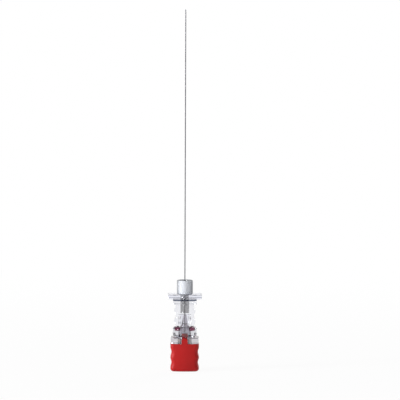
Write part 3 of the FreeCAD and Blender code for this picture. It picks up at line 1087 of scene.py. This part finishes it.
@dataclass
class Hub(Assembly):
    """The clear hub and the glue in it. Sizes are in millimetres from its mouth."""

    lift: float = 11.05
    length: float = 18.55
    barrel_radius: float = 3.35
    barrel_round: float = 0.45
    shoulder_base: float = 2.55
    shoulder_top: float = 3.42
    shoulder_radius: float = 2.95
    lug_radius: float = 3.9
    lug_foot_radius: float = 3.55
    lug_base: float = 0.25
    lug_edge: float = 0.35
    lug_half_sweep: float = 60.0
    body_plan: BowedPlan = BowedPlan(7.0, 5.4, 0.35, 0.9)
    body_waves: Waves = Waves(0.55, 1.8, 3.65, 3.36, 3)
    flange_base: float = 10.75
    flange_plan: BowedPlan = BowedPlan(7.8, 5.9, 0.6, 1.0)
    flange_round: float = 0.15
    flange_top_round: float = 0.2
    band_base: float = 11.95
    band_height: float = 0.52
    band_groove: float = 0.12
    grip_base: float = 12.68
    grip_top: float = 13.95
    grip_plan: BowedPlan = BowedPlan(11.05, 7.8, 0.12, 1.1)
    grip_round: float = 0.1
    collar_radius: float = 2.6
    collar_foot: float = 0.45
    rim_round: float = 0.22
    well_radius: float = 1.35
    well_floor: float = 7.95
    well_mouth: float = 0.25
    hole_radius: float = 0.18
    tube_foot: float = 7.7
    funnel_radius: float = 1.2
    socket_depth: float = 7.5
    socket_floor_radius: float = 1.925
    floor_round: float = 0.06
    mouth_radius: float = 2.15
    mouth_round: float = 0.06
    key_side: float = 0.96
    key_front: float = 2.91
    key_depth: float = 1.46
    glue_edge: float = 17.8
    glue_climb: float = 0.35
    glue_sag: float = 0.22
    glue_bite: float = 0.005
    fillet: float = 0.12
    margin: float = 0.02
    glint_near: float = 1.5
    glint_far: float = 3.3
    glint_drop: float = 0.3
    glint_wall: float = 0.1
    segments: int = 240
    glue_segments: int = 96

    def build_hub(self) -> Piece:
        """Model the hub as one closed wall, outside first and then its bores.

        Returns:
            The finished piece.
        """
        rings = [*self._body_rings(), *self._flange_rings(), *self._collar_rings(),
                 *self._bore_rings()]
        hub = loft("clear_hub", rings, self.segments, lift=self.lift, hollow=True)
        smooth(hub)
        self.dress(hub, CLEAR)
        skin = self.well_radius + self.margin
        top = self.lift + self.grip_top + self.margin
        band = self.lift + self.band_base
        waist = self.lift + self.shoulder_top
        lit = zone(self.lift + self.shoulder_base - self.glint_drop, waist,
                   self.mouth_radius + self.glint_wall)
        sole = self.lift + self.grip_base - self.margin
        for finish, rule in (
                (FROSTED, zone(top, math.inf, skin)),
                # Painted shade on the band below the grip plate.
                (GROOVE_SHADE, zone(band, band + self.band_height, skin)),
                # Painted shade on the hub below the lugs' shoulders.
                (LOWER_SHADE, zone(-math.inf, waist)),
                (GLINT, lambda middle, normal: lit(middle, normal)
                 and self.glint_near < abs(middle.x) < self.glint_far),
                # Painted bluish shade on the grip plate.
                (PLATE_SHADE, zone(sole, top, self.collar_radius))):
            self.dress(hub, finish, rule)
        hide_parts("hub")
        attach(hub, Body.NEEDLE.value)
        return hub

    def _lug_reach(self, angle: float, height: float) -> float:
        """Reach of the two locking lugs at an angle and height, or nought beside them."""
        away = abs(math.degrees(math.atan2(math.sin(angle), abs(math.cos(angle)))))
        if away > self.lug_half_sweep or height < self.lug_base - 0.001:
            return 0.0
        low = min((height - self.lug_base) / self.lug_edge, 1)
        reach = self.lug_foot_radius + low * (self.lug_radius - self.lug_foot_radius)
        return self._shoulder(reach, height)

    def _shoulder(self, reach: float, height: float) -> float:
        """Reach of barrel or lug, rounding in to the body above the shoulder's base."""
        share = (height - self.shoulder_base) / (self.shoulder_top - self.shoulder_base)
        share = min(max(share, 0), 1)
        return self.shoulder_radius + (reach - self.shoulder_radius) * math.sqrt(1 - share ** 2)

    def _outside(self, height: float) -> Reach:
        """Reach of the hub below its flange, as a function of the angle."""
        plan = self.body_waves.narrow(self.body_plan, height)
        inset = max(1 - height / self.barrel_round, 0)
        barrel = self.barrel_radius - self.barrel_round * (1 - math.sqrt(1 - inset ** 2))

        def reach(angle: float) -> float:
            """Largest of barrel, lugs and body."""
            found = 0.0
            if height <= self.shoulder_top:
                found = self._shoulder(barrel, height)
                found = soft_max(found, self._lug_reach(angle, height), self.fillet)
            if height >= self.lug_base + self.lug_edge:
                found = soft_max(found, plan.reach(angle), self.fillet)
            return found
        return reach

    def _body_rings(self) -> Iterator[Ring]:
        """Rings from the mouth up to the flange."""
        shoulder = self.shoulder_top - self.shoulder_base
        heights = [rise * self.barrel_round for inset, rise in quarter(7)]
        heights += [self.lug_base - 0.002, self.lug_base + 0.001]
        heights += spread(self.lug_base + self.lug_edge, self.shoulder_base, 8)
        heights += [self.shoulder_top - rise * shoulder for inset, rise in quarter(10)[:-1]]
        heights += spread(self.shoulder_top, self.flange_base, 56)[1:]
        for height in sorted(heights):
            yield Ring(height, self._outside(height))

    def _flange_rings(self) -> Iterator[Ring]:
        """Rings of the rounded flange, the band above it and the grip plate."""
        yield from foot_rings(self.flange_plan, self.flange_base, self.flange_round, 4)
        band_top = self.band_base + self.band_height
        edge = [((1 - rise) * self.band_groove,
                 self.flange_plan.inset((1 - inset) * self.band_groove).reach)
                for inset, rise in reversed(quarter(3))]
        for rise, reach in edge:
            yield Ring(self.band_base + rise, reach)
        for rise, reach in reversed(edge):
            yield Ring(band_top - rise, reach)
        yield from rim_rings(self.flange_plan, self.grip_base, self.flange_top_round, 4)
        yield from foot_rings(self.grip_plan, self.grip_base, self.grip_round, 5)
        yield from rim_rings(self.grip_plan, self.grip_top, self.grip_round, 5)

    def _collar_rings(self) -> Iterator[Ring]:
        """Rings of the collar from its narrow foot to its rim."""
        collar = Disc(self.collar_radius)
        yield from column(self.collar_radius - self.collar_foot, self.grip_top)
        yield from rounding(collar, self.grip_top + self.margin,
                            self.collar_foot - self.margin, self.collar_foot, 6)
        yield from column(self.collar_radius, *spread(
            self.grip_top + self.collar_foot, self.length - self.rim_round, 10)[1:])
        yield from rim_rings(collar, self.length, self.rim_round, 5)[1:]

    def _bore_rings(self) -> Iterator[Ring]:
        """Rings of the well, the tube's hole, the funnel and the socket, downwards."""
        yield from rounding(Disc(self.well_radius), self.length, -self.well_mouth,
                            -self.well_mouth, 4)
        yield from column(self.well_radius, *spread(
            self.length - self.well_mouth, self.well_floor, 16)[1:])
        yield from column(self.hole_radius, self.well_floor, self.tube_foot)
        yield from column(self.funnel_radius, self.socket_depth)
        yield from rounding(Disc(self.socket_floor_radius), self.socket_depth,
                            -self.floor_round, self.floor_round, 6)
        heights = spread(self.socket_depth - self.floor_round, self.key_depth + 0.001, 12)[1:]
        for height in heights + spread(self.key_depth, self.mouth_round, 4):
            yield Ring(height, self._socket(height, 0.0))
        for inset, rise in quarter(3)[-2::-1]:
            yield Ring(rise * self.mouth_round, self._socket(0.0, inset * self.mouth_round))

    def _socket(self, height: float, widening: float) -> Reach:
        """Reach of the taper socket and, near the mouth, of the keyway."""
        share = height / self.socket_depth
        socket = self.mouth_radius + share * (self.socket_floor_radius - self.mouth_radius)

        def reach(angle: float) -> float:
            """Larger of socket and keyway."""
            if height > self.key_depth or math.sin(angle) >= 0:
                return socket + widening
            across = max(abs(math.cos(angle)), 1e-6)
            key = min(self.key_side / across, -self.key_front / math.sin(angle))
            return max(socket, key) + widening
        return reach

    def build_glue(self) -> Piece:
        """Model the glue in the well, hollow at its surface and climbing the tube.

        Returns:
            The finished piece.
        """
        outer = self.well_radius + self.glue_bite
        foot = self.well_floor + 0.001
        rings = column(outer, *spread(foot, self.glue_edge, 12))
        steps = 14
        for step in range(1, steps + 1):
            share = step / steps
            sag = self.glue_sag * (math.exp(-share * 7) - 1)
            climb = (self.glue_climb + self.glue_sag) * share ** 5
            rings += column(outer + share * (self.hole_radius - outer),
                            self.glue_edge + sag + climb)
        rings += column(self.hole_radius, *spread(
            self.glue_edge + self.glue_climb - self.margin, foot, 12))
        glue = loft("set_glue", rings, self.glue_segments, lift=self.lift, hollow=True)
        smooth(glue)
        self.dress(glue, GLUE)
        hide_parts("adhesive_plug")
        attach(glue, Body.NEEDLE.value)
        return glue


@dataclass
class SteelTube(Assembly):
    """The steel tube with its ground point. Sizes are in millimetres."""

    foot: float = 18.75
    tip: float = 117.6
    radius: float = 0.17
    bore: float = 0.105
    etched_top: float = 29.1
    spare: float = 0.4
    bevel_degrees: float = 19.0
    bevel_reach: float = 1.3
    lancet_degrees: float = 30.0
    lancet_turn: float = 30.0
    wheel: float = 4.0
    segments: int = 48

    def build(self) -> Piece:
        """Model the tube and grind its bevel and its two lancet facets.

        Returns:
            The finished piece.
        """
        levels = [self.foot] + spread(self.etched_top, self.tip + self.spare, 20)
        rings = column(self.radius, *levels) + column(self.bore, *reversed(levels))
        tube = loft("steel_tube", rings, self.segments, hollow=True)
        self._grind(tube, self.bevel_degrees, 0.0)
        for turn in (self.lancet_turn, -self.lancet_turn):
            self._grind(tube, self.lancet_degrees, turn)
        mend_normals(tube)
        smooth(tube, 20.0)
        start = self.tip - self.bevel_reach
        self.dress(tube, DRAWN)
        for finish, side in ((GROUND, -1.0), (FACET, 0.2)):
            self.dress(tube, finish, lambda middle, normal: middle.z > start
                       and normal.z > 0.15 and abs(normal.x) > side)
        self.dress(tube, ETCHED, zone(-math.inf, self.etched_top))
        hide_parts("cannula")
        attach(tube, Body.NEEDLE.value)
        return tube

    def _grind(self, tube: Piece, degrees: float, turn: float) -> None:
        """Cut one flat facet through the point.

        Args:
            tube: The tube's mesh object.
            degrees: Angle between the facet and the axis.
            turn: Turn of the facet round the axis, in degrees.
        """
        lean = math.radians(degrees)
        round_axis = math.radians(turn)
        reach = self.radius * math.cos(round_axis)
        half = self.wheel / 2
        wheel = block("wheel", (-half, -half, 0), (half, half, self.wheel))
        tilt = Matrix.Rotation(math.pi / 2 - lean, 4, "X")
        place = (Matrix.Rotation(round_axis, 4, "Z")
                 @ Matrix.Translation((0, reach * MM, self.tip * MM)) @ tilt)
        wheel.data.transform(place)
        combine(tube, wheel, Cut.REMOVE)


# The studio

WHITE = (1.0, 1.0, 1.0, 1.0)


@dataclass(frozen=True)
class Lamp:
    """A soft lamp.

    Attributes:
        name: Name of the lamp.
        place: Where it hangs.
        size: Width and height.
        watts: Power.
    """

    name: str
    place: Point
    size: tuple[float, float]
    watts: float

    def hang(self, target: Point) -> None:
        """Add the lamp, turned to a target."""
        lamp = add_new(self.name, bpy.ops.object.light_add, type="AREA", location=self.place)
        lamp.data.shape = "RECTANGLE"
        lamp.data.size, lamp.data.size_y = self.size
        lamp.data.energy = self.watts
        towards = Vector(target) - Vector(self.place)
        lamp.rotation_euler = towards.to_track_quat("-Z", "Y").to_euler()


@dataclass
class Studio:
    """Floor, light and camera. Lengths are in metres."""

    floor_radius: float = 3.0
    floor_drop: float = 0.00002
    floor_white: float = 0.9
    glow_near: float = 0.02
    glow_far: float = 0.3
    glow_share: float = 0.93
    camera_distance: float = 1.0
    camera_pitch: float = 4.9
    camera_roll: float = 0.19
    look_height: float = 0.05575
    seen_width: float = 0.1298
    sideways_shift: float = 0.0371
    sensor: float = 36.0
    room_colour: Colour = (0.42, 0.43, 0.46)
    room_light: float = 0.2
    room_low: float = 0.1
    room_high: float = 0.25
    card_colour: Colour = (0.03, 0.03, 0.035)
    card_roughness: float = 0.9
    card_turns: tuple[float, ...] = (60.0, 300.0)
    card_distance: float = 0.7
    card_width: float = 0.2
    card_height: float = 0.6
    lamp_target: Point = (0.0, 0.0, 0.02)
    lamps: tuple[Lamp, ...] = (
        Lamp("key", (-0.1, -0.95, 0.4), (0.3, 0.5), 1.1),
        Lamp("side", (-0.85, -0.3, 0.3), (0.2, 0.5), 8.0),
        Lamp("strip", (-0.75, -0.585, 0.2), (0.05, 0.7), 1.6),
        Lamp("top", (0.0, 0.1, 0.8), (0.5, 0.5), 1.3),
        Lamp("fill", (0.55, 0.8, 0.4), (0.4, 0.5), 3.0),
    )

    def build(self) -> None:
        """Set up the whole studio."""
        self._floor()
        self._world()
        for lamp in self.lamps:
            lamp.hang(self.lamp_target)
        self._cards()
        self._camera()
        bpy.context.scene.view_settings.view_transform = "Standard"

    def _floor(self) -> None:
        """Lay a pale floor that keeps a soft shadow."""
        floor = add_new("floor", bpy.ops.mesh.primitive_circle_add, vertices=96,
                        radius=self.floor_radius, fill_type="NGON",
                        location=(0, 0, -self.floor_drop))
        material = bpy.data.materials.new("pale_floor")
        material.use_nodes = True
        nodes = Nodes(material.node_tree)
        nodes.tree.nodes.clear()
        paths = nodes.add("ShaderNodeLightPath").outputs
        seen = nodes.math("ADD", paths["Is Camera Ray"], paths["Is Glossy Ray"])
        seen = nodes.math("ADD", seen, paths["Is Transmission Ray"], clamp=True)
        place = nodes.add("ShaderNodeTexCoord").outputs["Object"]
        away = nodes.add("ShaderNodeVectorMath", Vector=place)
        away.operation = "LENGTH"
        near = nodes.between(away.outputs["Value"], self.glow_near, self.glow_far,
                             self.glow_share, 1.0)
        matt = nodes.add("ShaderNodeBsdfDiffuse", Color=with_alpha((self.floor_white,) * 3))
        glow = nodes.add("ShaderNodeEmission", Color=WHITE, Strength=1.0)
        mix = nodes.add("ShaderNodeMixShader", Fac=nodes.math("MULTIPLY", seen, near))
        nodes.feed(mix.inputs[1], matt.outputs[0])
        nodes.feed(mix.inputs[2], glow.outputs[0])
        nodes.add("ShaderNodeOutputMaterial", Surface=mix.outputs[0])
        floor.data.materials.append(material)

    def _world(self) -> None:
        """Surround the object with white, and with a grey room for gloss and glass."""
        world = bpy.data.worlds.new("studio")
        bpy.context.scene.world = world
        world.use_nodes = True
        nodes = Nodes(world.node_tree)
        nodes.tree.nodes.clear()
        paths = nodes.add("ShaderNodeLightPath").outputs
        way = nodes.add("ShaderNodeTexCoord").outputs["Generated"]
        rise = nodes.add("ShaderNodeSeparateXYZ", Vector=way).outputs["Z"]
        room = nodes.blend(nodes.between(rise, self.room_low, self.room_high), WHITE,
                           with_alpha(self.room_colour))
        reflected = nodes.math("ADD", paths["Is Glossy Ray"], paths["Is Transmission Ray"],
                               clamp=True)
        lit = nodes.blend(reflected, with_alpha((self.room_light,) * 3), room)
        colour = nodes.blend(paths["Is Camera Ray"], lit, WHITE)
        background = nodes.add("ShaderNodeBackground", Color=colour, Strength=1.0)
        nodes.add("ShaderNodeOutputWorld", Surface=background.outputs[0])

    def _cards(self) -> None:
        """Stand dark cards round the object, which only gloss and glass show."""
        material = bpy.data.materials.new("dark_card")
        material.use_nodes = True
        nodes = Nodes(material.node_tree)
        nodes.fill(nodes.tree.nodes["Principled BSDF"],
                   Base_Color=with_alpha(self.card_colour), Roughness=self.card_roughness)
        for degrees in self.card_turns:
            turn = math.radians(degrees)
            place = Vector((math.sin(turn), -math.cos(turn), 0)) * self.card_distance
            place.z = self.card_height / 2
            card = add_new(f"card_{degrees:.0f}", bpy.ops.mesh.primitive_plane_add, size=1,
                           location=place)
            card.scale = (self.card_width, self.card_height, 1)
            card.rotation_euler = (math.pi / 2, 0, turn)
            settle(card)
            card.data.materials.append(material)
            card.visible_camera = False
            card.visible_shadow = False
            card.visible_diffuse = False

    def _camera(self) -> None:
        """Stand the camera in front, a little above the hub."""
        pitch = math.radians(self.camera_pitch)
        place = Vector((0, -math.cos(pitch), math.sin(pitch))) * self.camera_distance
        place.z += self.look_height
        camera = add_new("Camera", bpy.ops.object.camera_add, location=place)
        roll = Matrix.Rotation(math.radians(self.camera_roll), 3, "Z")
        stance = Matrix.Rotation(math.pi / 2 - pitch, 3, "X") @ roll
        camera.rotation_euler = stance.to_euler()
        camera.data.sensor_width = self.sensor
        camera.data.lens = self.sensor * self.camera_distance / self.seen_width
        camera.data.shift_x = self.sideways_shift
        camera.data.clip_start = 0.01
        bpy.context.scene.camera = camera


def main() -> None:
    """Build every piece and the studio."""
    logging.basicConfig(level=logging.INFO)
    effects = SurfaceEffects()
    stylet = Stylet(effects)
    hub = Hub(effects)
    tube = SteelTube(effects)
    for build in (stylet.build_cap, stylet.build_plug, stylet.build_wire,
                  hub.build_hub, hub.build_glue, tube.build):
        piece = build()
        log.info("%s: %d faces", piece.name, len(piece.data.polygons))
    Studio().build()


if __name__ == "__main__":
    main()
